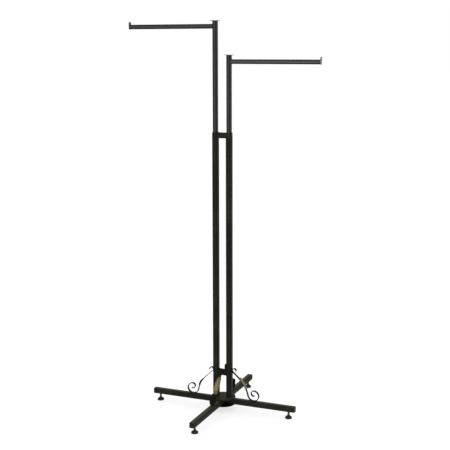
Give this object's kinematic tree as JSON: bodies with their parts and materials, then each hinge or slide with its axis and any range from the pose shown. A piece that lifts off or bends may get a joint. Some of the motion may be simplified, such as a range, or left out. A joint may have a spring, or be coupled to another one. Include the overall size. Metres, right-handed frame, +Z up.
{
  "type": "clothing rack",
  "caption": "Free-standing garment rack: telescoping square masts, each with a straight arm and upright end plate, on a crossed leg base with scroll braces and levelling feet.",
  "frame": {"origin": "on the floor, under the middle of the hub", "axes": "+Z up, +X along the right arm, -Y to the front leg"},
  "size_m": [0.9344, 0.728, 1.831],
  "materials": {
    "frame_paint": "textured matte black with worn brown highlights",
    "mast_paint": "satin dark grey",
    "scroll_paint": "black rubbed with antique gold on the hammered leaf",
    "cap_zinc": "dull zinc plate",
    "fastener_steel": "black oxide, oily",
    "black_plastic": "moulded, fine grain"
  },
  "bodies": {
    "base": {"leg_right": "frame_paint", "leg_cap_right": "black_plastic", "foot_insert_right": "fastener_steel", "hub_bolt_right": "fastener_steel", "scroll_right": "scroll_paint", "leg_rear": "frame_paint", "leg_cap_rear": "black_plastic", "foot_insert_rear": "fastener_steel", "hub_bolt_rear": "fastener_steel", "scroll_rear": "scroll_paint", "leg_left": "frame_paint", "leg_cap_left": "black_plastic", "foot_insert_left": "fastener_steel", "hub_bolt_left": "fastener_steel", "scroll_left": "scroll_paint", "leg_front": "frame_paint", "leg_cap_front": "black_plastic", "foot_insert_front": "fastener_steel", "hub_bolt_front": "fastener_steel", "scroll_front": "scroll_paint", "hub_top_plate": "frame_paint", "hub_bottom_plate": "frame_paint", "upper_tie": "frame_paint", "lower_tie": "frame_paint", "outer_tube_left": "frame_paint", "tube_bush_left": "black_plastic", "outer_tube_right": "frame_paint", "tube_bush_right": "black_plastic"},
    "left_mast": {"inner_tube_left": "mast_paint", "guide_plug_left": "black_plastic", "top_cap_left": "cap_zinc", "button_spring_left": "fastener_steel", "arm_left": "mast_paint", "end_plate_left": "mast_paint"},
    "left_button": {"lock_button_left": "fastener_steel"},
    "right_mast": {"inner_tube_right": "mast_paint", "guide_plug_right": "black_plastic", "top_cap_right": "cap_zinc", "button_spring_right": "fastener_steel", "arm_right": "mast_paint", "end_plate_right": "mast_paint"},
    "right_button": {"lock_button_right": "fastener_steel"},
    "right_pad": {"foot_pad_right": "black_plastic"},
    "right_stem": {"foot_stem_right": "fastener_steel"},
    "rear_pad": {"foot_pad_rear": "black_plastic"},
    "rear_stem": {"foot_stem_rear": "fastener_steel"},
    "left_pad": {"foot_pad_left": "black_plastic"},
    "left_stem": {"foot_stem_left": "fastener_steel"},
    "front_pad": {"foot_pad_front": "black_plastic"},
    "front_stem": {"foot_stem_front": "fastener_steel"}
  },
  "joints": [
    {"name": "left_mast_slide", "type": "slide", "parent": "base", "child": "left_mast", "axis": [0, 0, 1], "range_m": [-0.4572, 0]},
    {"name": "left_button_push", "type": "slide", "parent": "left_mast", "child": "left_button", "axis": [0, -1, 0], "range_m": [0, 0.0045], "stiffness_N_per_m": 2000, "springref_m": -0.0015, "deforming": ["button_spring_left"]},
    {"name": "right_mast_slide", "type": "slide", "parent": "base", "child": "right_mast", "axis": [0, 0, 1], "range_m": [-0.3048, 0.1524]},
    {"name": "right_button_push", "type": "slide", "parent": "right_mast", "child": "right_button", "axis": [0, -1, 0], "range_m": [0, 0.0045], "stiffness_N_per_m": 2000, "springref_m": -0.0015, "deforming": ["button_spring_right"]},
    {"name": "right_foot_travel", "type": "slide", "parent": "base", "child": "right_pad", "axis": [0, 0, 1], "range_m": [-0.0081, 0.0097]},
    {"name": "right_foot_turn", "type": "hinge", "parent": "right_pad", "child": "right_stem", "pos_m": [0.332, 0, 0.02], "axis": [0, 0, 1], "range_deg": [-1800, 2160]},
    {"name": "rear_foot_travel", "type": "slide", "parent": "base", "child": "rear_pad", "axis": [0, 0, 1], "range_m": [-0.0081, 0.0097]},
    {"name": "rear_foot_turn", "type": "hinge", "parent": "rear_pad", "child": "rear_stem", "pos_m": [0, 0.332, 0.02], "axis": [0, 0, 1], "range_deg": [-1800, 2160]},
    {"name": "left_foot_travel", "type": "slide", "parent": "base", "child": "left_pad", "axis": [0, 0, 1], "range_m": [-0.0081, 0.0097]},
    {"name": "left_foot_turn", "type": "hinge", "parent": "left_pad", "child": "left_stem", "pos_m": [-0.332, 0, 0.02], "axis": [0, 0, 1], "range_deg": [-1800, 2160]},
    {"name": "front_foot_travel", "type": "slide", "parent": "base", "child": "front_pad", "axis": [0, 0, 1], "range_m": [-0.0081, 0.0097]},
    {"name": "front_foot_turn", "type": "hinge", "parent": "front_pad", "child": "front_stem", "pos_m": [0, -0.332, 0.02], "axis": [0, 0, 1], "range_deg": [-1800, 2160]}
  ],
  "couplings": [
    {"joint": "right_foot_travel", "follows": "right_foot_turn", "m_per_rad": 0.00025266},
    {"joint": "rear_foot_travel", "follows": "rear_foot_turn", "m_per_rad": 0.00025266},
    {"joint": "left_foot_travel", "follows": "left_foot_turn", "m_per_rad": 0.00025266},
    {"joint": "front_foot_travel", "follows": "front_foot_turn", "m_per_rad": 0.00025266}
  ]
}
